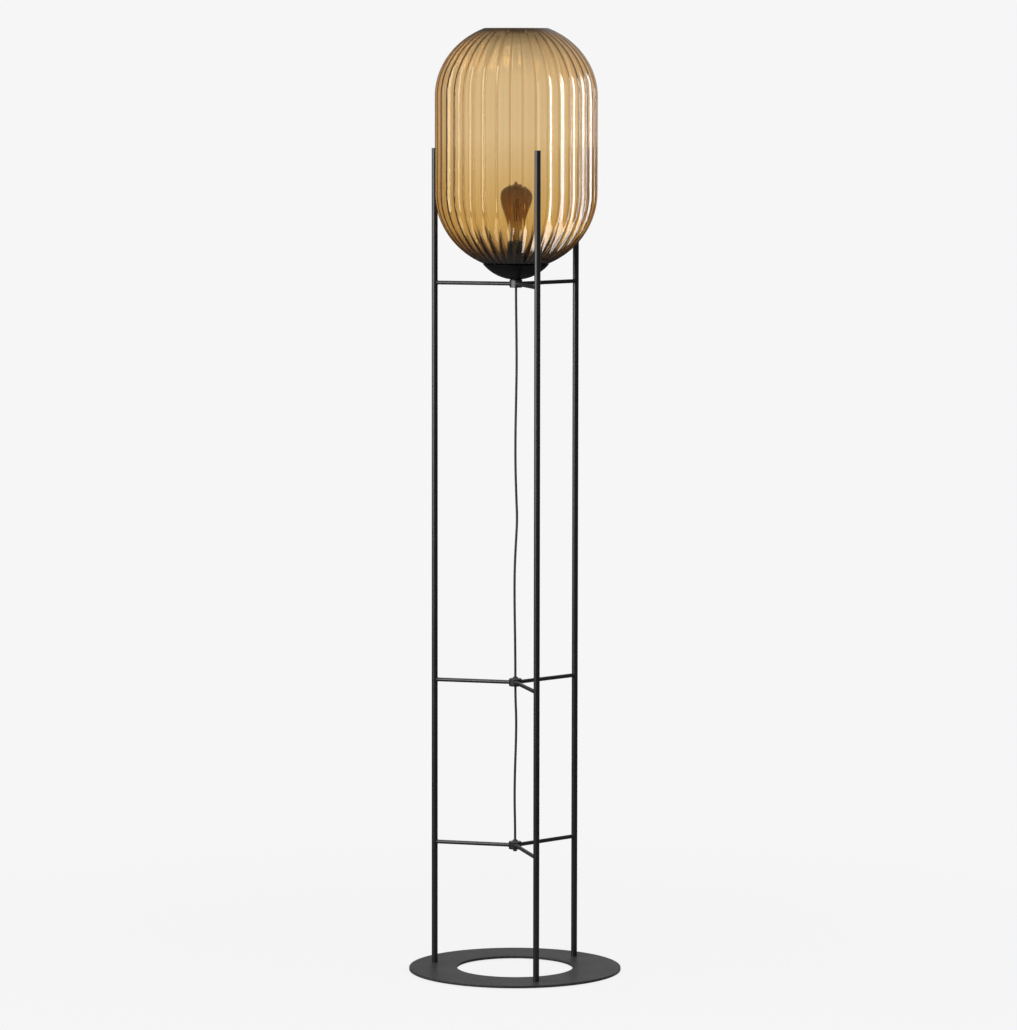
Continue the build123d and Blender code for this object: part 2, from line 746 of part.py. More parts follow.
# Filaments: four leaning rods between the collar and the button
filament_length = collar_drop - collar_height
with BuildPart() as bulb_filaments:
    for number in range(filament_count):
        bearing = number * 360 / filament_count
        foot = Vector(*radial(stem_diameter / 2 + filament_lean, bearing, collar_bottom + collar_height))
        head = Vector(*radial(stem_diameter / 2, bearing, stem_top))
        with BuildSketch(Plane.XY.offset(collar_bottom + collar_height)):
            with Locations((foot.X, foot.Y)):
                Circle(filament_diameter / 2)
        extrude(amount=filament_length, dir=(head - foot).normalized())
bulb_filaments.part.label = "bulb_filaments"
export_step(bulb_filaments.part, "parts/bulb_filaments.step")
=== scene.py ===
import bpy
import math
from mathutils import Matrix, Vector


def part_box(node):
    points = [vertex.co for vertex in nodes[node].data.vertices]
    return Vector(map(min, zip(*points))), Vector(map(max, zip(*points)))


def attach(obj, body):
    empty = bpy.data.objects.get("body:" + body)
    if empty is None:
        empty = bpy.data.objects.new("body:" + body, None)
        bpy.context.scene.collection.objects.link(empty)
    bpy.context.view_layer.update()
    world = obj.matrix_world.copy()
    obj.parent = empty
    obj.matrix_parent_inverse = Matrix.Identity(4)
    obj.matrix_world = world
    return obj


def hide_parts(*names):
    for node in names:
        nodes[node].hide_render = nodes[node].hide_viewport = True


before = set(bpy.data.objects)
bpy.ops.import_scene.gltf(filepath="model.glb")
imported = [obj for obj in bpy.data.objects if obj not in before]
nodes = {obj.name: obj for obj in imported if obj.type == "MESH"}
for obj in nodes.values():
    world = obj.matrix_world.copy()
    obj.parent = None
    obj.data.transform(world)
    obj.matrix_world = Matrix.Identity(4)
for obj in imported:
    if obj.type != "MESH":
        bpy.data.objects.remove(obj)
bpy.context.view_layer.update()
bpy.ops.object.select_all(action="DESELECT")


# Base ring: a flat steel plate with an open middle, laser cut, its upper edge eased.
# It is powder coated in black, with the fine grain of a baked coat and a little dust.
def add_node(tree, kind, links=None, **values):
    """Adds a shader node, sets its properties or sockets, and links its inputs."""
    made = tree.nodes.new(kind)
    for name, value in values.items():
        if name in made.inputs:
            made.inputs[name].default_value = value
        else:
            setattr(made, name, value)
    for socket, source in (links or {}).items():
        tree.links.new(source, made.inputs[socket])
    return made


def new_group(name, inputs, outputs):
    """An empty shader group with named sockets, and its two ends."""
    tree = bpy.data.node_groups.new(name, "ShaderNodeTree")
    for socket, kind, start in inputs:
        made = tree.interface.new_socket(socket, in_out="INPUT", socket_type=kind)
        made.default_value = start
    for socket, kind in outputs:
        tree.interface.new_socket(socket, in_out="OUTPUT", socket_type=kind)
    return tree, tree.nodes.new("NodeGroupInput"), tree.nodes.new("NodeGroupOutput")


def new_material(name):
    """A material with its Principled BSDF, and its tree."""
    made = bpy.data.materials.new(name)
    made.use_nodes = True
    return made, made.node_tree, made.node_tree.nodes["Principled BSDF"]


def mix_tones(tree, share, first, second):
    """Goes from one colour to another by a mask; 6, 7 and 2 are the Mix node's colour sockets."""
    mixer = add_node(tree, "ShaderNodeMix", {"Factor": share}, data_type="RGBA")
    tree.links.new(first, mixer.inputs[6])
    tree.links.new(second, mixer.inputs[7])
    return mixer.outputs[2]


def coat_group():
    """Powder coat: tone flecks, cloudy gloss and the height of its orange peel."""
    tree, ends, out = new_group(
        "Powder coat",
        [
            ("Colour", "NodeSocketColor", (0.02, 0.02, 0.02, 1.0)),
            ("Fleck colour", "NodeSocketColor", (0.05, 0.05, 0.05, 1.0)),
            ("Grain", "NodeSocketFloat", 900.0),
            ("Roughness", "NodeSocketFloat", 0.4),
            ("Cloudiness", "NodeSocketFloat", 0.12),
        ],
        [
            ("Colour", "NodeSocketColor"),
            ("Roughness", "NodeSocketFloat"),
            ("Height", "NodeSocketFloat"),
        ],
    )
    place = add_node(tree, "ShaderNodeTexCoord").outputs["Object"]
    peel = add_node(
        tree, "ShaderNodeTexNoise", {"Vector": place, "Scale": ends.outputs["Grain"]}, Detail=3.0
    )
    cloud = add_node(tree, "ShaderNodeTexNoise", {"Vector": place}, Scale=14.0, Detail=2.0)
    flecks = add_node(
        tree, "ShaderNodeMapRange", {"Value": peel.outputs["Fac"]}, interpolation_type="SMOOTHSTEP"
    )
    flecks.inputs["From Min"].default_value = 0.52
    flecks.inputs["From Max"].default_value = 0.72
    tone = mix_tones(
        tree, flecks.outputs["Result"], ends.outputs["Colour"], ends.outputs["Fleck colour"]
    )
    centred = add_node(tree, "ShaderNodeMath", {0: cloud.outputs["Fac"]}, operation="SUBTRACT")
    centred.inputs[1].default_value = 0.5
    swing = add_node(
        tree,
        "ShaderNodeMath",
        {0: centred.outputs[0], 1: ends.outputs["Cloudiness"], 2: ends.outputs["Roughness"]},
        operation="MULTIPLY_ADD",
    )
    tree.links.new(tone, out.inputs["Colour"])
    tree.links.new(swing.outputs[0], out.inputs["Roughness"])
    tree.links.new(peel.outputs["Fac"], out.inputs["Height"])
    return tree


def dust_and_top_light_group():
    """Settled dust, which where it is set high also paints light on the upper faces: a thin grey
    bloom on faces that look up, in soft patches.
    """
    tree, ends, out = new_group(
        "Settled dust",
        [
            ("Colour", "NodeSocketColor", (0.02, 0.02, 0.02, 1.0)),
            ("Dust colour", "NodeSocketColor", (0.2, 0.19, 0.18, 1.0)),
            ("Amount", "NodeSocketFloat", 0.1),
        ],
        [("Colour", "NodeSocketColor")],
    )
    place = add_node(tree, "ShaderNodeTexCoord").outputs["Object"]
    shape = add_node(tree, "ShaderNodeNewGeometry")
    patches = add_node(tree, "ShaderNodeTexNoise", {"Vector": place}, Scale=22.0, Detail=6.0)
    up = add_node(tree, "ShaderNodeSeparateXYZ", {"Vector": shape.outputs["Normal"]})
    facing = add_node(tree, "ShaderNodeMapRange", {"Value": up.outputs["Z"]})
    facing.inputs["From Min"].default_value = 0.6
    weight = add_node(
        tree,
        "ShaderNodeMath",
        {0: facing.outputs["Result"], 1: patches.outputs["Fac"]},
        operation="MULTIPLY",
    )
    amount = add_node(
        tree,
        "ShaderNodeMath",
        {0: weight.outputs[0], 1: ends.outputs["Amount"]},
        operation="MULTIPLY",
    )
    tone = mix_tones(tree, amount.outputs[0], ends.outputs["Colour"], ends.outputs["Dust colour"])
    tree.links.new(tone, out.inputs["Colour"])
    return tree


powder_coat = coat_group()
dust_and_top_light = dust_and_top_light_group()


def coated_black(name, colour, fleck, grain, roughness, specular, dust, peel):
    """Black powder coat or enamel on steel, with settled dust on its upper faces that can also
    carry a painted top light.
    """
    made, tree, shader = new_material(name)
    coat = add_node(tree, "ShaderNodeGroup", node_tree=powder_coat)
    coat.inputs["Colour"].default_value = colour
    coat.inputs["Fleck colour"].default_value = fleck
    coat.inputs["Grain"].default_value = grain
    coat.inputs["Roughness"].default_value = roughness
    bloom = add_node(tree, "ShaderNodeGroup", node_tree=dust_and_top_light)
    bloom.inputs["Amount"].default_value = dust
    tree.links.new(coat.outputs["Colour"], bloom.inputs["Colour"])
    bump = add_node(
        tree, "ShaderNodeBump", {"Height": coat.outputs["Height"]}, Strength=peel, Distance=0.0003
    )
    tree.links.new(bloom.outputs["Colour"], shader.inputs["Base Color"])
    tree.links.new(coat.outputs["Roughness"], shader.inputs["Roughness"])
    tree.links.new(bump.outputs["Normal"], shader.inputs["Normal"])
    shader.inputs["Specular IOR Level"].default_value = specular
    return made


def dress(material, *names):
    """Gives CAD nodes their finish."""
    for name in names:
        for slot in nodes[name].material_slots:
            slot.material = material


plate_black = coated_black(
    "plate_black",
    colour=(0.019, 0.0172, 0.0178, 1.0),
    fleck=(0.056, 0.052, 0.0535, 1.0),
    grain=420.0,
    roughness=0.42,
    specular=0.2,
    dust=0.1,
    peel=0.25,
)
dress(plate_black, "base_ring")

# Floor pads: thin discs of dense foam, self-adhesive, pressed on under the ring.
# Black, matt, with fine open cells on the cut face.
pad_foam, pad_tree, pad_shader = new_material("pad_foam")
pad_place = add_node(pad_tree, "ShaderNodeTexCoord").outputs["Object"]
pad_cells = add_node(pad_tree, "ShaderNodeTexVoronoi", {"Vector": pad_place}, Scale=1100.0)
pad_tone = add_node(pad_tree, "ShaderNodeValToRGB", {"Fac": pad_cells.outputs["Distance"]})
pad_tone.color_ramp.elements[0].color = (0.012, 0.012, 0.012, 1.0)
pad_tone.color_ramp.elements[1].color = (0.05, 0.05, 0.05, 1.0)
pad_bump = add_node(
    pad_tree,
    "ShaderNodeBump",
    {"Height": pad_cells.outputs["Distance"]},
    Strength=0.5,
    Distance=0.0004,
)
pad_tree.links.new(pad_tone.outputs["Color"], pad_shader.inputs["Base Color"])
pad_tree.links.new(pad_bump.outputs["Normal"], pad_shader.inputs["Normal"])
pad_shader.inputs["Roughness"].default_value = 0.9
dress(pad_foam, "floor_pads")

# Poles: steel tube with a flat plug in the top, in the same coat as the ring but smoother.
# Each stands on the ring and is held by a screw from below.
# Its dust is set high, so the upper faces of the rods and hubs come out paler: settled dust and a
# painted top light together.
tube_black = coated_black(
    "tube_black",
    colour=(0.006, 0.006, 0.0072, 1.0),
    fleck=(0.013, 0.013, 0.0152, 1.0),
    grain=1100.0,
    roughness=0.33,
    specular=0.5,
    dust=0.5,
    peel=0.1,
)
dress(tube_black, "pole_front", "pole_right", "pole_left", "pole_caps")


# Screws and threaded plugs in the feet of the tubes, and the hollow threaded rod that clamps the
# dish: turned steel, zinc plated. The plating has a faint blue cast and fine turning marks.
def plated_metal(name, pale, dark, roughness, scale):
    """Plated or bare metal with a drifting tone and fine turned marks."""
    polish_swing = 0.08
    made, tree, shader = new_material(name)
    place = add_node(tree, "ShaderNodeTexCoord").outputs["Object"]
    drift = add_node(tree, "ShaderNodeTexNoise", {"Vector": place}, Scale=scale, Detail=4.0)
    tone = add_node(tree, "ShaderNodeValToRGB", {"Fac": drift.outputs["Fac"]})
    tone.color_ramp.elements[0].position = 0.3
    tone.color_ramp.elements[0].color = dark
    tone.color_ramp.elements[1].position = 0.7
    tone.color_ramp.elements[1].color = pale
    marks = add_node(
        tree,
        "ShaderNodeTexWave",
        {"Vector": place},
        bands_direction="Z",
        Scale=900.0,
        Distortion=0.4,
    )
    bump = add_node(
        tree, "ShaderNodeBump", {"Height": marks.outputs["Fac"]}, Strength=0.12, Distance=0.0001
    )
    polish = add_node(tree, "ShaderNodeMapRange", {"Value": drift.outputs["Fac"]})
    polish.inputs["To Min"].default_value = roughness - polish_swing
    polish.inputs["To Max"].default_value = roughness + polish_swing
    tree.links.new(tone.outputs["Color"], shader.inputs["Base Color"])
    tree.links.new(polish.outputs["Result"], shader.inputs["Roughness"])
    tree.links.new(bump.outputs["Normal"], shader.inputs["Normal"])
    shader.inputs["Metallic"].default_value = 1.0
    return made


zinc_plate = plated_metal(
    "zinc_plate",
    pale=(0.66, 0.66, 0.64, 1.0),
    dark=(0.5, 0.51, 0.55, 1.0),
    roughness=0.34,
    scale=260.0,
)
dress(zinc_plate, "pole_inserts", "base_screws", "threaded_nipple")

# Spreaders: three rods in a short bored hub, at three heights, with small weld beads
# where a rod enters its hub and its pole. All are coated together with the poles.
levels = ("lower", "middle", "top")
sides = ("front", "right", "left")
dress(tube_black, *[f"{level}_hub" for level in levels])
dress(tube_black, *[f"{level}_arm_{side}" for level in levels for side in sides])

rod_radius = 0.00325
hub_radius = 0.0105
pole_radius = 0.005
pole_circle = 0.1385
bead_radius = 0.0007
bead_reach = 0.8
side_bearing = {"front": -90.0, "right": 30.0, "left": 150.0}


def weld_bead(seat, round_of, outward):
    """A ring of weld round a rod that lies along X, sagged over the round face it sits on."""
    bpy.ops.object.select_all(action="DESELECT")
    bpy.ops.mesh.primitive_torus_add(
        major_radius=rod_radius,
        minor_radius=bead_radius,
        major_segments=32,
        minor_segments=10,
        rotation=(0.0, math.radians(90.0), 0.0),
    )
    bead = bpy.context.object
    bpy.ops.object.transform_apply(location=False, rotation=True, scale=False)
    for corner in bead.data.vertices:
        sag = round_of - math.sqrt(round_of**2 - min(corner.co.y**2, bead_reach * round_of**2))
        corner.co.x = seat + corner.co.x - outward * sag
    return bead


hub_bead = weld_bead(seat=hub_radius, round_of=hub_radius, outward=1)
pole_bead = weld_bead(seat=pole_circle - pole_radius, round_of=pole_radius, outward=-1)
beads = []
for level in levels:
    low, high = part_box(f"{level}_hub")
    lift = Matrix.Translation((0.0, 0.0, (low.z + high.z) / 2))
    for side in sides:
        turn = Matrix.Rotation(math.radians(side_bearing[side]), 4, "Z")
        for first_bead in (hub_bead, pole_bead):
            bead = first_bead.copy()
            bead.data = first_bead.data.copy()
            bead.data.transform(lift @ turn)
            bpy.context.scene.collection.objects.link(bead)
            beads.append(bead)
bpy.ops.object.select_all(action="DESELECT")
for bead in beads:
    bead.select_set(True)
bpy.context.view_layer.objects.active = beads[0]
bpy.ops.object.join()
weld_beads = bpy.context.object
weld_beads.name = "weld_beads"
for first_bead in (hub_bead, pole_bead):
    bpy.data.objects.remove(first_bead)
bpy.ops.object.shade_smooth()
weld_beads.data.materials.append(tube_black)
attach(weld_beads, "frame")


# Bush, gland and gasket: moulded rubber. Two sleeves guide the cord in the middle and lower
# hubs, and a ring lies between the glass and its dish. Matt black, with the mottle of rubber.
def mottled_finish(name, pale, dark, roughness, scale):
    """Rubber, moulded plastic, fired clay or a dull coating, with a mottled surface."""
    dull_swing = 0.1
    made, tree, shader = new_material(name)
    place = add_node(tree, "ShaderNodeTexCoord").outputs["Object"]
    mottle = add_node(tree, "ShaderNodeTexNoise", {"Vector": place}, Scale=scale, Detail=5.0)
    tone = add_node(tree, "ShaderNodeValToRGB", {"Fac": mottle.outputs["Fac"]})
    tone.color_ramp.elements[0].color = dark
    tone.color_ramp.elements[1].color = pale
    bump = add_node(
        tree, "ShaderNodeBump", {"Height": mottle.outputs["Fac"]}, Strength=0.2, Distance=0.0002
    )
    dull = add_node(tree, "ShaderNodeMapRange", {"Value": mottle.outputs["Fac"]})
    dull.inputs["To Min"].default_value = roughness - dull_swing
    dull.inputs["To Max"].default_value = roughness + dull_swing
    tree.links.new(tone.outputs["Color"], shader.inputs["Base Color"])
    tree.links.new(dull.outputs["Result"], shader.inputs["Roughness"])
    tree.links.new(bump.outputs["Normal"], shader.inputs["Normal"])
    shader.inputs["Specular IOR Level"].default_value = 0.3
    return made


bush_rubber = mottled_finish(
    "bush_rubber",
    pale=(0.03, 0.03, 0.03, 1.0),
    dark=(0.012, 0.012, 0.012, 1.0),
    roughness=0.62,
    scale=900.0,
)
dress(bush_rubber, "cord_bush", "cord_gland", "shade_gasket")

# Supply cord: round black flex that comes down out of the lampholder through the hubs
# and ends in the gland. It hangs almost straight, with the slight set of a coiled lead.
cord_diameter = 0.004
cord_route = [
    (0.0, 0.0, 1.160), (0.0, 0.0, 1.112), (0.0009, -0.0003, 1.056),
    (0.0014, -0.0004, 1.000), (0.0005, -0.0001, 0.944), (-0.0005, 0.0002, 0.888),
    (-0.0004, 0.0002, 0.834), (0.0012, -0.0003, 0.782), (0.0026, -0.0007, 0.748),
    (0.0006, -0.0002, 0.712), (-0.0015, 0.0005, 0.664), (-0.0015, 0.0004, 0.610),
    (-0.0006, 0.0002, 0.556), (0.0, 0.0, 0.510), (0.0, 0.0, 0.458),
    (0.0017, -0.0005, 0.416), (0.0009, -0.0003, 0.372), (-0.0006, 0.0002, 0.326),
    (-0.0010, 0.0003, 0.280), (0.0, 0.0, 0.240), (0.0, 0.0, 0.202),
]
cord_curve = bpy.data.curves.new("supply_flex", "CURVE")
cord_curve.dimensions = "3D"
cord_line = cord_curve.splines.new("NURBS")
cord_line.points.add(len(cord_route) - 1)
for point, place in zip(cord_line.points, cord_route):
    point.co = (*place, 1.0)
cord_line.order_u = 3
cord_line.use_endpoint_u = True
cord_line.resolution_u = 8
cord_curve.bevel_depth = cord_diameter / 2
cord_curve.bevel_resolution = 5
cord_curve.use_fill_caps = True
supply_flex = bpy.data.objects.new("supply_flex", cord_curve)
bpy.context.scene.collection.objects.link(supply_flex)
cord_black = mottled_finish(
    "cord_black",
    pale=(0.02, 0.02, 0.02, 1.0),
    dark=(0.008, 0.008, 0.008, 1.0),
    roughness=0.5,
    scale=1500.0,
)
cord_curve.materials.append(cord_black)
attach(supply_flex, "frame")
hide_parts("supply_cord")

# Dish and washer: spun sheet steel with a rounded rim, clamped on the top hub.
# Enamelled black, glossier than the tubes.
dish_black = coated_black(
    "dish_black",
    colour=(0.003, 0.003, 0.0032, 1.0),
    fleck=(0.006, 0.006, 0.0062, 1.0),
    grain=1300.0,
    roughness=0.22,
    specular=0.1,
    dust=0.02,
    peel=0.1,
)
dress(dish_black, "shade_cup", "cup_washer")

# Lampholder: two black mouldings screwed together, round a pale ceramic core with brass contacts.
# The mouldings have a fine spark-eroded grain.
holder_black = mottled_finish(
    "holder_black",
    pale=(0.022, 0.022, 0.022, 1.0),
    dark=(0.01, 0.01, 0.01, 1.0),
    roughness=0.4,
    scale=2400.0,
)
dress(holder_black, "holder_cap", "holder_skirt")
core_ceramic = mottled_finish(
    "core_ceramic",
    pale=(0.82, 0.8, 0.75, 1.0),
    dark=(0.7, 0.68, 0.63, 1.0),
    roughness=0.55,
    scale=1200.0,
)
dress(core_ceramic, "holder_core")
contact_brass = plated_metal(
    "contact_brass",
    pale=(0.78, 0.6, 0.3, 1.0),
    dark=(0.62, 0.44, 0.2, 1.0),
    roughness=0.3,
    scale=320.0,
)
dress(contact_brass, "screw_shell", "centre_contact", "terminal_screws")


# Bulb cap: pressed brass with a rolled round thread, a black glass insulator and
# a soldered tip. The neck of the bulb is cemented into its skirt.
def raise_skin(name, profile, corners):
    """A circle drawn up through (radius, height) steps, as glass or metal is drawn."""
    bpy.ops.object.select_all(action="DESELECT")
    radius, height = profile[0]
    bpy.ops.mesh.primitive_circle_add(vertices=corners, radius=radius, location=(0.0, 0.0, height))
    skin = bpy.context.object
    skin.name = name
    bpy.ops.object.transform_apply(location=True, rotation=False, scale=False)
    bpy.ops.object.mode_set(mode="EDIT")
    bpy.ops.mesh.select_all(action="SELECT")
    for (here, level), (wide, above) in zip(profile, profile[1:]):
        bpy.ops.mesh.extrude_region_move(
            TRANSFORM_OT_translate={"value": (0.0, 0.0, above - level)}
        )
        bpy.ops.transform.resize(
            value=(wide / here, wide / here, 1.0), center_override=(0.0, 0.0, above)
        )
    bpy.ops.object.mode_set(mode="OBJECT")
    return skin


cap_low, cap_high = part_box("bulb_cap")
thread_lead = 0.00282
thread_depth = 0.00035
thread_run_out = 1 / 8
cap_radius = 0.00695
cap_foot_radius = 0.0056
cap_foot_height = 0.002
skirt_radius = 0.009
skirt_height = 0.003
skirt_flare = 0.0006
skirt_wall = 0.0005
rim_round = 0.0003
cap_rows = 46
cap_corners = 64
thread_top = cap_high.z - skirt_height
thread_bottom = cap_low.z + cap_foot_height
cap_profile = [(cap_foot_radius, cap_low.z)]
cap_profile += [
    (cap_radius - thread_depth, thread_bottom + (thread_top - thread_bottom) * row / cap_rows)
    for row in range(cap_rows + 1)
]
cap_profile += [
    (skirt_radius, thread_top + skirt_flare),
    (skirt_radius, cap_high.z - rim_round),
    (skirt_radius - rim_round, cap_high.z),
    (skirt_radius - skirt_wall, cap_high.z - rim_round),
    (skirt_radius - skirt_wall, thread_top + skirt_flare + skirt_wall),
]
bulb_thread = raise_skin("bulb_thread", cap_profile, cap_corners)
for corner in bulb_thread.data.vertices:
    run = (corner.co.z - thread_bottom) / (thread_top - thread_bottom)
    if 0.0 <= run <= 1.0:
        fade = min(1.0, run / thread_run_out, (1.0 - run) / thread_run_out)
        turn = math.atan2(corner.co.y, corner.co.x) / math.tau
        wave = math.cos(math.tau * (corner.co.z / thread_lead - turn))
        share = 1.0 + fade * thread_depth * wave / (cap_radius - thread_depth)
        corner.co.x *= share
        corner.co.y *= share
bpy.ops.object.mode_set(mode="EDIT")
bpy.ops.mesh.select_all(action="SELECT")
bpy.ops.mesh.region_to_loop()
bpy.ops.mesh.edge_face_add()
bpy.ops.mesh.select_all(action="SELECT")
bpy.ops.mesh.normals_make_consistent(inside=False)
bpy.ops.object.mode_set(mode="OBJECT")
bpy.ops.object.shade_smooth_by_angle(angle=math.radians(40.0))
cap_brass = plated_metal(
    "cap_brass",
    pale=(0.74, 0.62, 0.4, 1.0),
    dark=(0.6, 0.47, 0.26, 1.0),
    roughness=0.26,
    scale=300.0,
)
bulb_thread.data.materials.append(cap_brass)
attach(bulb_thread, "bulb")
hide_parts("bulb_cap")
insulator_black = mottled_finish(
    "insulator_black",
    pale=(0.02, 0.02, 0.02, 1.0),
    dark=(0.008, 0.008, 0.009, 1.0),
    roughness=0.2,
    scale=700.0,
)
dress(insulator_black, "bulb_insulator")
tip_solder = plated_metal(
    "tip_solder",
    pale=(0.72, 0.72, 0.7, 1.0),
    dark=(0.55, 0.55, 0.56, 1.0),
    roughness=0.4,
    scale=500.0,
)
dress(tip_solder, "bulb_contact")


# Bulb: a pear-shaped envelope of thin brown smoked glass, blown, and drawn to a sealed tip
# at the top. Its neck is clearer than its crown, and a painted shade darkens it towards its
# outline.
def dome(centre, radius, rise, start, end, steps):
    """(radius, height) steps up an elliptical dome between two tilts in degrees."""
    tilts = [math.radians(start + (end - start) * step / steps) for step in range(steps + 1)]
    return [(radius * math.cos(tilt), centre + rise * math.sin(tilt)) for tilt in tilts]


bulb_low, bulb_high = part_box("bulb_glass")
bulb_wall = 0.0009
bulb_radius = 0.025
neck_radius = 0.0083
neck_length = 0.0018
throat_radius = 0.012
throat_height = 0.024
throat_lean = 0.21
shoulder_radius = 0.02
shoulder_height = 0.057
shoulder_lean = 0.31
crown_rise = 0.022
tip_rise = 0.0035
tip_radius = 0.0022
crown_base = bulb_high.z - tip_rise - crown_rise
pear_steps = 16
crown_steps = 20
tip_steps = 8
bulb_corners = 96


def envelope(inset):
    """The pear from the foot of the neck to the crown: smooth S curves through four widths."""
    stations = [
        (neck_radius - inset, bulb_low.z + neck_length, 0.0),
        (throat_radius - inset, bulb_low.z + throat_height, throat_lean),
        (shoulder_radius - inset, bulb_low.z + shoulder_height, shoulder_lean),
        (bulb_radius - inset, crown_base, 0.0),
    ]
    rows = [(neck_radius - inset, bulb_low.z)]
    for (wide, low, lean), (next_wide, high, next_lean) in zip(stations, stations[1:]):
        reach = high - low
        for step in range(pear_steps):
            t = step / pear_steps
            rows.append(
                (
                    wide * (2 * t**3 - 3 * t**2 + 1)
                    + lean * reach * (t**3 - 2 * t**2 + t)
                    + next_wide * (3 * t**2 - 2 * t**3)
                    + next_lean * reach * (t**3 - t**2),
                    low + reach * t,
                )
            )
    return rows


outer_tilt = math.degrees(math.acos(tip_radius / bulb_radius))
tip_tilt = 85.0
inner_tilt = 88.0
outer_rows = envelope(0.0)
outer_rows += dome(crown_base, bulb_radius, crown_rise, 0.0, outer_tilt, crown_steps)
tip_centre = bulb_high.z - tip_radius
outer_rows += dome(tip_centre, tip_radius, tip_radius, 0.0, tip_tilt, tip_steps)
inner_radius = bulb_radius - bulb_wall
inner_rise = crown_rise - bulb_wall
inner_rows = envelope(bulb_wall)
inner_rows += dome(crown_base, inner_radius, inner_rise, 0.0, inner_tilt, crown_steps)


def seal(skin):
    """Welds the rings of a skin that meet, closes its open ends and turns its faces out."""
    weld_gap = 6e-6
    bpy.context.view_layer.objects.active = skin
    bpy.ops.object.mode_set(mode="EDIT")
    bpy.ops.mesh.select_all(action="SELECT")
    bpy.ops.mesh.remove_doubles(threshold=weld_gap)
    bpy.ops.mesh.fill_holes(sides=0)
    bpy.ops.mesh.select_all(action="SELECT")
    bpy.ops.mesh.normals_make_consistent(inside=False)
    bpy.ops.object.mode_set(mode="OBJECT")


bulb_envelope = raise_skin("bulb_envelope", inner_rows[::-1] + outer_rows, bulb_corners)
seal(bulb_envelope)
bpy.ops.object.shade_smooth_by_angle(angle=math.radians(50.0))


def flow_group():
    """Blown glass: long vertical waves in the surface and a slow drift of its tint."""
    tree, ends, out = new_group(
        "Blown glass",
        [
            ("Tint", "NodeSocketColor", (0.9, 0.8, 0.6, 1.0)),
            ("Deep tint", "NodeSocketColor", (0.8, 0.6, 0.3, 1.0)),
            ("Wave scale", "NodeSocketFloat", 30.0),
            ("Stretch", "NodeSocketFloat", 0.15),
        ],
        [("Colour", "NodeSocketColor"), ("Height", "NodeSocketFloat")],
    )
    place = add_node(tree, "ShaderNodeTexCoord").outputs["Object"]
    squeeze = add_node(tree, "ShaderNodeCombineXYZ", {"Z": ends.outputs["Stretch"]}, X=1.0, Y=1.0)
    drawn = add_node(
        tree, "ShaderNodeVectorMath", {0: place, 1: squeeze.outputs["Vector"]}, operation="MULTIPLY"
    )
    waves = add_node(
        tree,
        "ShaderNodeTexNoise",
        {"Vector": drawn.outputs["Vector"], "Scale": ends.outputs["Wave scale"]},
        Detail=2.0,
    )
    tone = mix_tones(tree, waves.outputs["Fac"], ends.outputs["Tint"], ends.outputs["Deep tint"])
    tree.links.new(tone, out.inputs["Colour"])
    tree.links.new(waves.outputs["Fac"], out.inputs["Height"])
    return tree


blown_glass = flow_group()
smoked_glass, smoke_tree, smoke_shader = new_material("smoked_glass")
smoke_flow = add_node(smoke_tree, "ShaderNodeGroup", node_tree=blown_glass)
smoke_flow.inputs["Tint"].default_value = (1.0, 1.0, 1.0, 1.0)
smoke_flow.inputs["Deep tint"].default_value = (0.72, 0.68, 0.6, 1.0)
smoke_flow.inputs["Wave scale"].default_value = 160.0
smoke_bump = add_node(
    smoke_tree,
    "ShaderNodeBump",
    {"Height": smoke_flow.outputs["Height"]},
    Strength=0.1,
    Distance=0.0004,
)
smoke_place = add_node(smoke_tree, "ShaderNodeTexCoord").outputs["Object"]
smoke_axes = add_node(smoke_tree, "ShaderNodeSeparateXYZ", {"Vector": smoke_place})
smoke_height = add_node(smoke_tree, "ShaderNodeMapRange", {"Value": smoke_axes.outputs["Z"]})
smoke_height.inputs["From Min"].default_value = bulb_low.z
smoke_height.inputs["From Max"].default_value = bulb_high.z


def tint_ramp(tree, value, stops):
    """A colour ramp through (position, colour) stops."""
    ramp = add_node(tree, "ShaderNodeValToRGB", {"Fac": value})
    steps = ramp.color_ramp.elements
    while len(steps) < len(stops):
        steps.new(1.0)
    for step, (position, colour) in zip(steps, stops):
        step.position = position
        step.color = colour
    return ramp


def tint_over(tree, below, above):
    """One tint laid over another, as two layers of coloured glass."""
    both = add_node(tree, "ShaderNodeMix", data_type="RGBA", blend_type="MULTIPLY")
    both.inputs["Factor"].default_value = 1.0
    tree.links.new(below, both.inputs[6])
    tree.links.new(above, both.inputs[7])
    return both.outputs[2]


smoke_fade = tint_ramp(
    smoke_tree,
    smoke_height.outputs["Result"],
    [
        (0.0, (0.97, 0.88, 0.7, 1.0)),
        (0.25, (0.95, 0.85, 0.64, 1.0)),
        (0.42, (0.68, 0.49, 0.26, 1.0)),
        (0.7, (0.5, 0.34, 0.17, 1.0)),
        (1.0, (0.3, 0.18, 0.08, 1.0)),
    ],
)
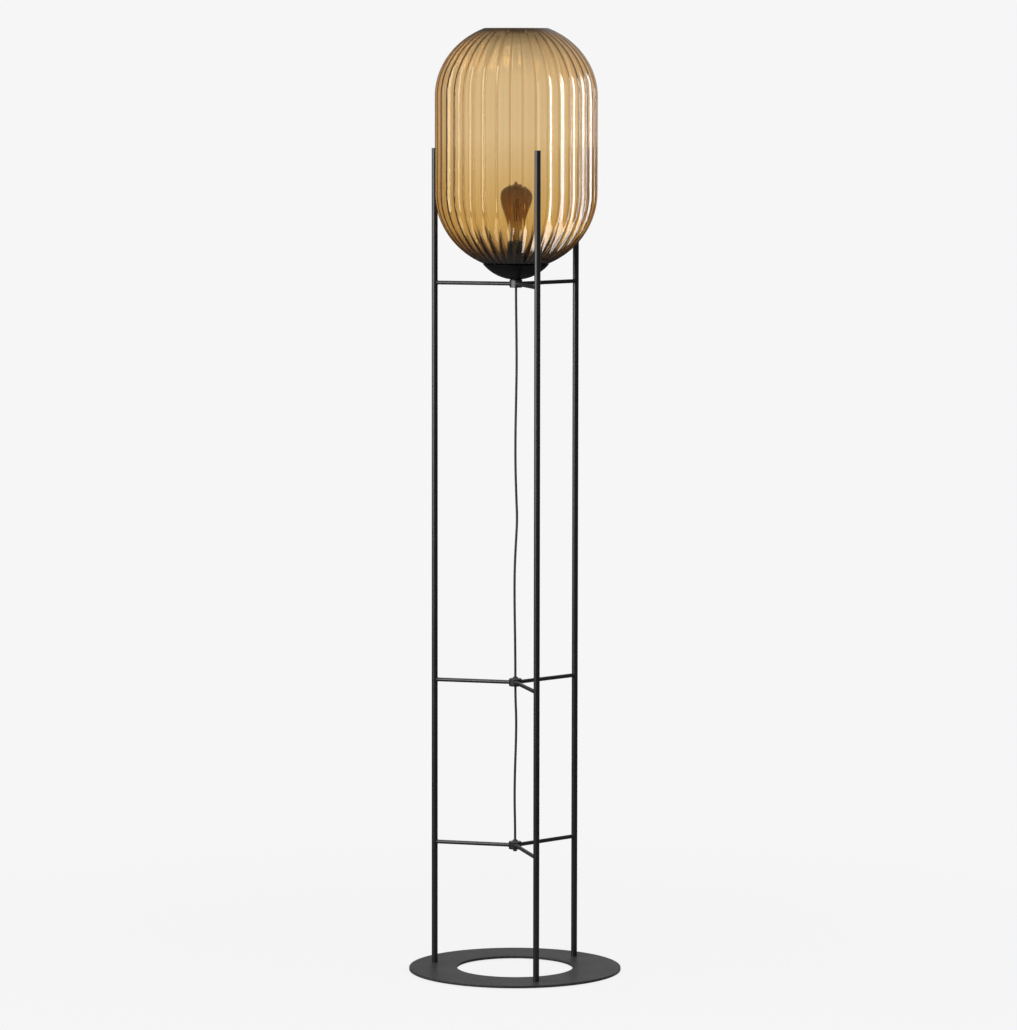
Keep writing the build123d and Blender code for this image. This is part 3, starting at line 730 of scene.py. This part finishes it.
# Painted shade: the smoke tint darkens where the surface turns away, towards the outline.
smoke_facing = add_node(smoke_tree, "ShaderNodeLayerWeight", Blend=0.5)
painted_smoke_edge_shade = tint_ramp(
    smoke_tree,
    smoke_facing.outputs["Facing"],
    [(0.2, (1.0, 1.0, 1.0, 1.0)), (0.55, (0.62, 0.52, 0.4, 1.0)), (1.0, (0.2, 0.14, 0.1, 1.0))],
)
smoke_body = tint_over(smoke_tree, smoke_fade.outputs["Color"], painted_smoke_edge_shade.outputs["Color"])
smoke_tone = tint_over(smoke_tree, smoke_body, smoke_flow.outputs["Colour"])
smoke_tree.links.new(smoke_tone, smoke_shader.inputs["Base Color"])
smoke_tree.links.new(smoke_bump.outputs["Normal"], smoke_shader.inputs["Normal"])
smoke_shader.inputs["Roughness"].default_value = 0.02
smoke_shader.inputs["IOR"].default_value = 1.5
smoke_shader.inputs["Transmission Weight"].default_value = 1.0
bulb_envelope.data.materials.append(smoked_glass)
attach(bulb_envelope, "bulb")
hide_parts("bulb_glass")

# Stem and filaments: a clear glass stem fused into the neck of the bulb, and the upright
# filaments that it carries, each with a pale yellow coating.
stem_glass, stem_tree, stem_shader = new_material("stem_glass")
stem_flow = add_node(stem_tree, "ShaderNodeGroup", node_tree=blown_glass)
stem_flow.inputs["Tint"].default_value = (0.9, 0.9, 0.88, 1.0)
stem_flow.inputs["Deep tint"].default_value = (0.8, 0.8, 0.77, 1.0)
stem_flow.inputs["Wave scale"].default_value = 300.0
stem_tree.links.new(stem_flow.outputs["Colour"], stem_shader.inputs["Base Color"])
stem_shader.inputs["Roughness"].default_value = 0.05
stem_shader.inputs["Transmission Weight"].default_value = 1.0
dress(stem_glass, "bulb_stem")
filament_yellow = mottled_finish(
    "filament_yellow",
    pale=(0.9, 0.68, 0.25, 1.0),
    dark=(0.75, 0.5, 0.15, 1.0),
    roughness=0.6,
    scale=1800.0,
)
dress(filament_yellow, "bulb_filaments")

# Shade: amber glass blown into a fluted mould, so both faces of its thin wall follow forty
# upright hollows with a ridge between each two. The top is cut flat; the foot rests in the dish.
shade_low, shade_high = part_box("glass_shade")
shade_radius = 0.133
shade_wall = 0.003
lower_rise = 0.127
upper_rise = 0.1205
shade_straight = 0.156
mouth_radius = 0.0515
hole_radius = 0.032
flute_count = 40
flute_depth = 0.0024
ridge_share = 0.25
corners_per_flute = 16
crowding = 0.7
dome_steps = 30
upper_centre = shade_high.z - upper_rise * math.sin(math.acos(mouth_radius / shade_radius))
lower_centre = upper_centre - shade_straight
hole_tilt = -math.degrees(math.acos(hole_radius / shade_radius))
mouth_tilt = math.degrees(math.acos(mouth_radius / shade_radius))
outside = dome(lower_centre, shade_radius, lower_rise, hole_tilt, 0.0, dome_steps)
outside += dome(upper_centre, shade_radius, upper_rise, 0.0, mouth_tilt, dome_steps)
lining_radius = shade_radius - shade_wall
lining_lower_rise = lower_rise - shade_wall
lining_upper_rise = upper_rise - shade_wall
lining_hole_tilt = -math.degrees(math.acos(hole_radius / lining_radius))
lining_mouth_tilt = math.degrees(math.asin((shade_high.z - upper_centre) / lining_upper_rise))
inside = dome(lower_centre, lining_radius, lining_lower_rise, lining_hole_tilt, 0.0, dome_steps)
inside += dome(upper_centre, lining_radius, lining_upper_rise, 0.0, lining_mouth_tilt, dome_steps)


def flute_height(across):
    """Height of a flute's face from -1 to 1: a hollow, with each ridge rounded over."""
    hollow = 1.0 - ridge_share
    past = max(0.0, abs(across) - hollow)
    return min(abs(across), hollow) ** 2 + 2.0 * hollow * (past - past**2 / (2.0 * ridge_share))


shade_corners = flute_count * corners_per_flute
ribbed_shade = raise_skin("ribbed_shade", outside + inside[::-1] + outside[:1], shade_corners)
seal(ribbed_shade)
for corner in ribbed_shade.data.vertices:
    turn = math.atan2(corner.co.y, corner.co.x) * flute_count / math.tau
    step = turn - math.floor(turn)
    crowded = step - crowding * math.sin(math.tau * step) / math.tau
    bearing = (math.floor(turn) + crowded) * math.tau / flute_count
    hollow_depth = flute_depth * (1.0 - flute_height(2.0 * crowded - 1.0) / flute_height(1.0))
    reach = math.hypot(corner.co.x, corner.co.y) * (1.0 - hollow_depth / shade_radius)
    corner.co.x = reach * math.cos(bearing)
    corner.co.y = reach * math.sin(bearing)
bpy.ops.object.shade_smooth_by_angle(angle=math.radians(70.0))

amber_glass, amber_tree, amber_shader = new_material("amber_glass")
amber_flow = add_node(amber_tree, "ShaderNodeGroup", node_tree=blown_glass)
amber_flow.inputs["Tint"].default_value = (1.0, 0.995, 0.985, 1.0)
amber_flow.inputs["Deep tint"].default_value = (0.99, 0.975, 0.94, 1.0)
amber_flow.inputs["Wave scale"].default_value = 40.0
amber_bump = add_node(
    amber_tree,
    "ShaderNodeBump",
    {"Height": amber_flow.outputs["Height"]},
    Strength=0.05,
    Distance=0.001,
)
amber_place = add_node(amber_tree, "ShaderNodeTexCoord").outputs["Object"]
amber_axes = add_node(amber_tree, "ShaderNodeSeparateXYZ", {"Vector": amber_place})
amber_height = add_node(amber_tree, "ShaderNodeMapRange", {"Value": amber_axes.outputs["Z"]})
amber_height.inputs["From Min"].default_value = shade_low.z
amber_height.inputs["From Max"].default_value = shade_high.z
# Painted shade: the amber is made much darker at the foot, where the glass sits in the dish, and
# darker again towards the mouth, with the belly left almost clear.
painted_shade_by_height = tint_ramp(
    amber_tree,
    amber_height.outputs["Result"],
    [
        (0.0, (0.06, 0.05, 0.04, 1.0)),
        (0.03, (0.14, 0.115, 0.085, 1.0)),
        (0.055, (0.36, 0.305, 0.225, 1.0)),
        (0.09, (0.72, 0.64, 0.48, 1.0)),
        (0.17, (0.88, 0.8, 0.58, 1.0)),
        (0.3, (0.92, 0.87, 0.72, 1.0)),
        (0.55, (0.99, 0.99, 0.99, 1.0)),
        (0.8, (0.98, 0.98, 0.98, 1.0)),
        (0.87, (0.91, 0.91, 0.92, 1.0)),
        (0.93, (0.78, 0.79, 0.8, 1.0)),
        (0.966, (0.56, 0.565, 0.575, 1.0)),
        (0.98, (0.5, 0.495, 0.49, 1.0)),
        (0.99, (0.15, 0.12, 0.095, 1.0)),
    ],
)
amber_turn = add_node(
    amber_tree,
    "ShaderNodeMath",
    {0: amber_axes.outputs["Y"], 1: amber_axes.outputs["X"]},
    operation="ARCTAN2",
)
amber_flutes = add_node(
    amber_tree, "ShaderNodeMath", {0: amber_turn.outputs[0]}, operation="MULTIPLY"
)
amber_flutes.inputs[1].default_value = flute_count / math.tau
amber_across = add_node(
    amber_tree, "ShaderNodeMath", {0: amber_flutes.outputs[0]}, operation="FRACT"
)
# Painted highlight and shade across each flute: paler just past a ridge, darkening towards the next
# ridge.
painted_flute_light = tint_ramp(
    amber_tree,
    amber_across.outputs[0],
    [
        (0.0, (0.97, 0.96, 0.94, 1.0)),
        (0.05, (1.0, 1.0, 1.0, 1.0)),
        (0.16, (1.0, 1.0, 1.0, 1.0)),
        (0.3, (0.96, 0.95, 0.93, 1.0)),
        (0.7, (0.94, 0.92, 0.89, 1.0)),
        (0.88, (0.86, 0.82, 0.75, 1.0)),
        (0.96, (0.8, 0.74, 0.64, 1.0)),
        (1.0, (0.97, 0.96, 0.94, 1.0)),
    ],
)
# Painted shade: dark streaks beside each ridge, wider towards the foot, that fade out within the
# lowest fifth of the shade.
foot_spread = add_node(amber_tree, "ShaderNodeMapRange", {"Value": amber_height.outputs["Result"]})
foot_spread.inputs["From Max"].default_value = 0.18
foot_spread.inputs["To Min"].default_value = 0.88
foot_spread.inputs["To Max"].default_value = -0.1
foot_reach = add_node(
    amber_tree,
    "ShaderNodeMath",
    {0: amber_across.outputs[0], 1: foot_spread.outputs["Result"]},
    operation="ADD",
)
painted_foot_shade = tint_ramp(
    amber_tree,
    foot_reach.outputs[0],
    [(0.9, (1.0, 1.0, 1.0, 1.0)), (1.0, (0.14, 0.105, 0.07, 1.0))],
)
# Painted shade: the amber darkens where the surface turns away, towards the outline.
amber_facing = add_node(amber_tree, "ShaderNodeLayerWeight", Blend=0.5)
painted_edge_shade = tint_ramp(
    amber_tree,
    amber_facing.outputs["Facing"],
    [
        (0.0, (1.0, 1.0, 1.0, 1.0)),
        (0.64, (1.0, 1.0, 1.0, 1.0)),
        (0.8, (0.8, 0.76, 0.71, 1.0)),
        (1.0, (0.5, 0.45, 0.4, 1.0)),
    ],
)
amber_body = tint_over(amber_tree, painted_shade_by_height.outputs["Color"], painted_edge_shade.outputs["Color"])
amber_fade = tint_over(amber_tree, amber_body, painted_flute_light.outputs["Color"])
amber_foot = tint_over(amber_tree, amber_fade, painted_foot_shade.outputs["Color"])
amber_tone = tint_over(amber_tree, amber_foot, amber_flow.outputs["Colour"])
amber_depth = add_node(amber_tree, "ShaderNodeVolumeAbsorption", Density=185.0)
amber_depth.inputs["Color"].default_value = (0.86, 0.575, 0.02, 1.0)
amber_tree.links.new(amber_tone, amber_shader.inputs["Base Color"])
amber_tree.links.new(amber_bump.outputs["Normal"], amber_shader.inputs["Normal"])
amber_out = amber_tree.nodes["Material Output"]
amber_tree.links.new(amber_depth.outputs["Volume"], amber_out.inputs["Volume"])
amber_shader.inputs["Roughness"].default_value = 0.01
amber_shader.inputs["IOR"].default_value = 1.5
amber_shader.inputs["Transmission Weight"].default_value = 1.0
ribbed_shade.data.materials.append(amber_glass)
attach(ribbed_shade, "shade")
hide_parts("glass_shade")

# Studio: a pale floor that runs out to the horizon under an even pale surround.
# The camera sees both at the same tone, reflections meet a dimmer one, as in a room with
# its lamps turned away, and the floor keeps a faint shadow.
background_tone = 0.922
room_tone = 0.6
floor_gloss = 0.06
front_gloss = 0.14
side_gloss = 0.75
gleam_side = (0.635, 0.773, 0.0)
floor_radius = 60.0
bpy.ops.object.select_all(action="DESELECT")
bpy.ops.mesh.primitive_circle_add(vertices=96, radius=floor_radius, fill_type="NGON")
floor = bpy.context.object
floor.name = "studio_floor"
floor_paint, floor_tree, floor_shader = new_material("floor_paint")
floor_paths = add_node(floor_tree, "ShaderNodeLightPath")
floor_place = add_node(floor_tree, "ShaderNodeTexCoord")
floor_seen = add_node(
    floor_tree,
    "ShaderNodeMath",
    {0: floor_paths.outputs["Is Camera Ray"], 1: floor_paths.outputs["Is Glossy Ray"]},
    operation="MAXIMUM",
)
floor_shown = add_node(
    floor_tree,
    "ShaderNodeMath",
    {0: floor_seen.outputs[0], 1: floor_paths.outputs["Is Transmission Ray"]},
    operation="MAXIMUM",
)
floor_reach = add_node(
    floor_tree, "ShaderNodeVectorMath", {0: floor_place.outputs["Object"]}, operation="LENGTH"
)
floor_share = add_node(
    floor_tree,
    "ShaderNodeMapRange",
    {"Value": floor_reach.outputs["Value"]},
    interpolation_type="SMOOTHSTEP",
)
floor_share.inputs["From Min"].default_value = 0.3
floor_share.inputs["From Max"].default_value = 1.6
floor_share.inputs["To Min"].default_value = 0.2
floor_share.inputs["To Max"].default_value = 0.0
floor_shader.inputs["Base Color"].default_value = (0.88, 0.88, 0.88, 1.0)
floor_shader.inputs["Roughness"].default_value = 0.9
floor_shader.inputs["Specular IOR Level"].default_value = 0.0
floor_mirrored = add_node(
    floor_tree,
    "ShaderNodeMath",
    {0: floor_paths.outputs["Is Glossy Ray"], 1: floor_paths.outputs["Is Transmission Ray"]},
    operation="SUBTRACT",
)
floor_tone = add_node(floor_tree, "ShaderNodeMapRange", {"Value": floor_mirrored.outputs[0]})
floor_tone.inputs["To Min"].default_value = background_tone
floor_tone.inputs["To Max"].default_value = floor_gloss
floor_glow = add_node(floor_tree, "ShaderNodeEmission", {"Strength": floor_tone.outputs["Result"]})
floor_glow.inputs["Color"].default_value = (1.0, 1.0, 1.0, 1.0)
floor_blend = add_node(
    floor_tree,
    "ShaderNodeMixShader",
    {0: floor_share.outputs["Result"], 1: floor_glow.outputs[0], 2: floor_shader.outputs[0]},
)
floor_pick = add_node(
    floor_tree,
    "ShaderNodeMixShader",
    {0: floor_shown.outputs[0], 1: floor_shader.outputs[0], 2: floor_blend.outputs[0]},
)
floor_tree.links.new(floor_pick.outputs[0], floor_tree.nodes["Material Output"].inputs["Surface"])
floor.data.materials.append(floor_paint)

surround = bpy.data.worlds.new("surround")
bpy.context.scene.world = surround
surround.use_nodes = True
sky = surround.node_tree
sky.nodes.clear()
sky_paths = add_node(sky, "ShaderNodeLightPath")
sky_place = add_node(sky, "ShaderNodeTexCoord")
beside = add_node(
    sky, "ShaderNodeVectorMath", {0: sky_place.outputs["Generated"]}, operation="DOT_PRODUCT"
)
beside.inputs[1].default_value = gleam_side
gleam = add_node(
    sky, "ShaderNodeMapRange", {"Value": beside.outputs["Value"]}, interpolation_type="SMOOTHSTEP"
)
gleam.inputs["From Min"].default_value = 0.82
gleam.inputs["From Max"].default_value = 0.95
gleam.inputs["To Min"].default_value = front_gloss
gleam.inputs["To Max"].default_value = side_gloss
shown_light = add_node(sky, "ShaderNodeBackground", Strength=background_tone)
gloss_light = add_node(sky, "ShaderNodeBackground", {"Strength": gleam.outputs["Result"]})
room_light = add_node(sky, "ShaderNodeBackground", Strength=room_tone)
for light in (shown_light, gloss_light, room_light):
    light.inputs["Color"].default_value = (1.0, 1.0, 1.0, 1.0)
seen = add_node(
    sky,
    "ShaderNodeMath",
    {0: sky_paths.outputs["Is Camera Ray"], 1: sky_paths.outputs["Is Transmission Ray"]},
    operation="MAXIMUM",
)
gloss_pick = add_node(
    sky,
    "ShaderNodeMixShader",
    {0: sky_paths.outputs["Is Glossy Ray"], 1: room_light.outputs[0], 2: gloss_light.outputs[0]},
)
seen_pick = add_node(
    sky,
    "ShaderNodeMixShader",
    {0: seen.outputs[0], 1: gloss_pick.outputs[0], 2: shown_light.outputs[0]},
)
add_node(sky, "ShaderNodeOutputWorld", {"Surface": seen_pick.outputs[0]})


# Lights: large soft panels overhead, in front and at the left for the black pieces, with a card
# for the left rods, the hubs and the cord. The glass has a tall window at the right with a wing,
# a slit and a low card, and a strip and a low card at the left. Only the low cards show through it.
def soft_panel(name, place, aim, width, height, power, through_glass=False):
    """An area light at a place, turned to an aim point and unseen by the camera."""
    lamp = bpy.data.lights.new(name, "AREA")
    lamp.shape = "RECTANGLE"
    lamp.size = width
    lamp.size_y = height
    lamp.energy = power
    panel = bpy.data.objects.new(name, lamp)
    panel.location = place
    panel.rotation_euler = (Vector(aim) - Vector(place)).to_track_quat("-Z", "Y").to_euler()
    panel.visible_camera = False
    panel.visible_transmission = through_glass
    bpy.context.scene.collection.objects.link(panel)
    return panel


def flag_light(panel, state, *pieces):
    """Turns a light on some pieces alone, or keeps it off them, as flags do in a studio."""
    group = bpy.data.collections.new(panel.name + "_flags")
    for piece in pieces:
        group.objects.link(piece)
    for piece in group.collection_objects:
        piece.light_linking.link_state = state
    panel.light_linking.receiver_collection = group


top_panel = soft_panel(
    "top_panel", place=(0.0, -0.3, 3.4), aim=(0.0, 0.0, 0.8), width=2.2, height=2.2, power=45.0
)
flag_light(top_panel, "EXCLUDE", ribbed_shade, bulb_envelope)
front_panel = soft_panel(
    "front_panel", place=(-1.2, -2.6, 3.2), aim=(0.0, 0.0, 0.9), width=2.0, height=1.4, power=26.0
)
flag_light(front_panel, "EXCLUDE", ribbed_shade, bulb_envelope)
left_panel = soft_panel(
    "left_panel", place=(-2.5, -0.6, 1.55), aim=(0.0, 0.0, 1.55), width=2.8, height=2.0, power=100.0
)
flag_light(left_panel, "EXCLUDE", ribbed_shade, bulb_envelope, floor)
rod_card = soft_panel(
    "rod_card", place=(-1.5, -1.45, 1.2), aim=(0.0, 0.0, 1.0), width=1.0, height=0.8, power=15.0
)
lit_rods = [nodes[f"{level}_{piece}"] for piece in ("arm_left", "hub") for level in levels]
flag_light(rod_card, "INCLUDE", supply_flex, *lit_rods)
right_window = soft_panel(
    "right_window", place=(2.2, -0.4, 1.2), aim=(0.0, -0.4, 1.2), width=1.2, height=2.3, power=72.0
)
window_wing = soft_panel(
    "window_wing", place=(2.2, -1.5, 1.2), aim=(0.0, -1.5, 1.2), width=1.0, height=2.3, power=12.0
)
window_slit = soft_panel(
    "window_slit", place=(2.125, -0.57, 1.2), aim=(0.0, 0.0, 1.2), width=0.5, height=2.3, power=24.0
)
low_card = soft_panel(
    "low_card",
    place=(1.3, -0.4, 0.05),
    aim=(1.3, -0.4, 1.0),
    width=1.7,
    height=1.2,
    power=40.0,
    through_glass=True,
)
left_strip = soft_panel(
    "left_strip", place=(-3.0, 0.0, 2.0), aim=(0.0, 0.0, 2.0), width=0.7, height=3.9, power=62.0
)
left_card = soft_panel(
    "left_card",
    place=(-1.3, -0.3, 0.05),
    aim=(-1.3, -0.3, 1.0),
    width=1.6,
    height=0.6,
    power=8.0,
    through_glass=True,
)
cool_daylight = (0.93, 0.97, 1.08)
warm_lamplight = (1.0, 0.88, 0.58)
right_window.data.color = cool_daylight
for panel in (left_strip, left_card):
    panel.data.color = warm_lamplight
for panel in (right_window, window_wing, window_slit, low_card, left_strip, left_card):
    flag_light(panel, "INCLUDE", ribbed_shade, bulb_envelope)

# Camera: level with the top of the shade, a little to the left of the front pole and far off,
# so that the poles stay almost upright in the picture. Its roll is that of the photograph.
camera_bearing = math.radians(-14.4234)
camera_distance = 8.36438
camera_height = 1.54349
aim_height = 0.75565
aim_left = -0.01166
focal_pixels = 5116.2
picture_height = 1030.0
camera_roll = math.radians(0.08)
level_back = Vector((math.sin(camera_bearing), -math.cos(camera_bearing), 0.0))
level_right = Vector((math.cos(camera_bearing), math.sin(camera_bearing), 0.0))
eye = level_back * camera_distance + Vector((0.0, 0.0, camera_height))
aim = Vector((0.0, 0.0, aim_height)) + level_right * aim_left
ahead = (aim - eye).normalized()
right = ahead.cross(Vector((0.0, 0.0, 1.0))).normalized()
up = right.cross(ahead)
rolled_right = right * math.cos(camera_roll) + up * math.sin(camera_roll)
rolled_up = up * math.cos(camera_roll) - right * math.sin(camera_roll)
lens = bpy.data.cameras.new("camera")
lens.sensor_width = 36.0
lens.lens = focal_pixels * lens.sensor_width / picture_height
lens.clip_end = 200.0
camera = bpy.data.objects.new("camera", lens)
camera_turn = Matrix((rolled_right, rolled_up, -ahead)).transposed().to_4x4()
camera.matrix_world = Matrix.Translation(eye) @ camera_turn
bpy.context.scene.collection.objects.link(camera)
bpy.context.scene.camera = camera
bpy.context.scene.view_settings.view_transform = "Standard"
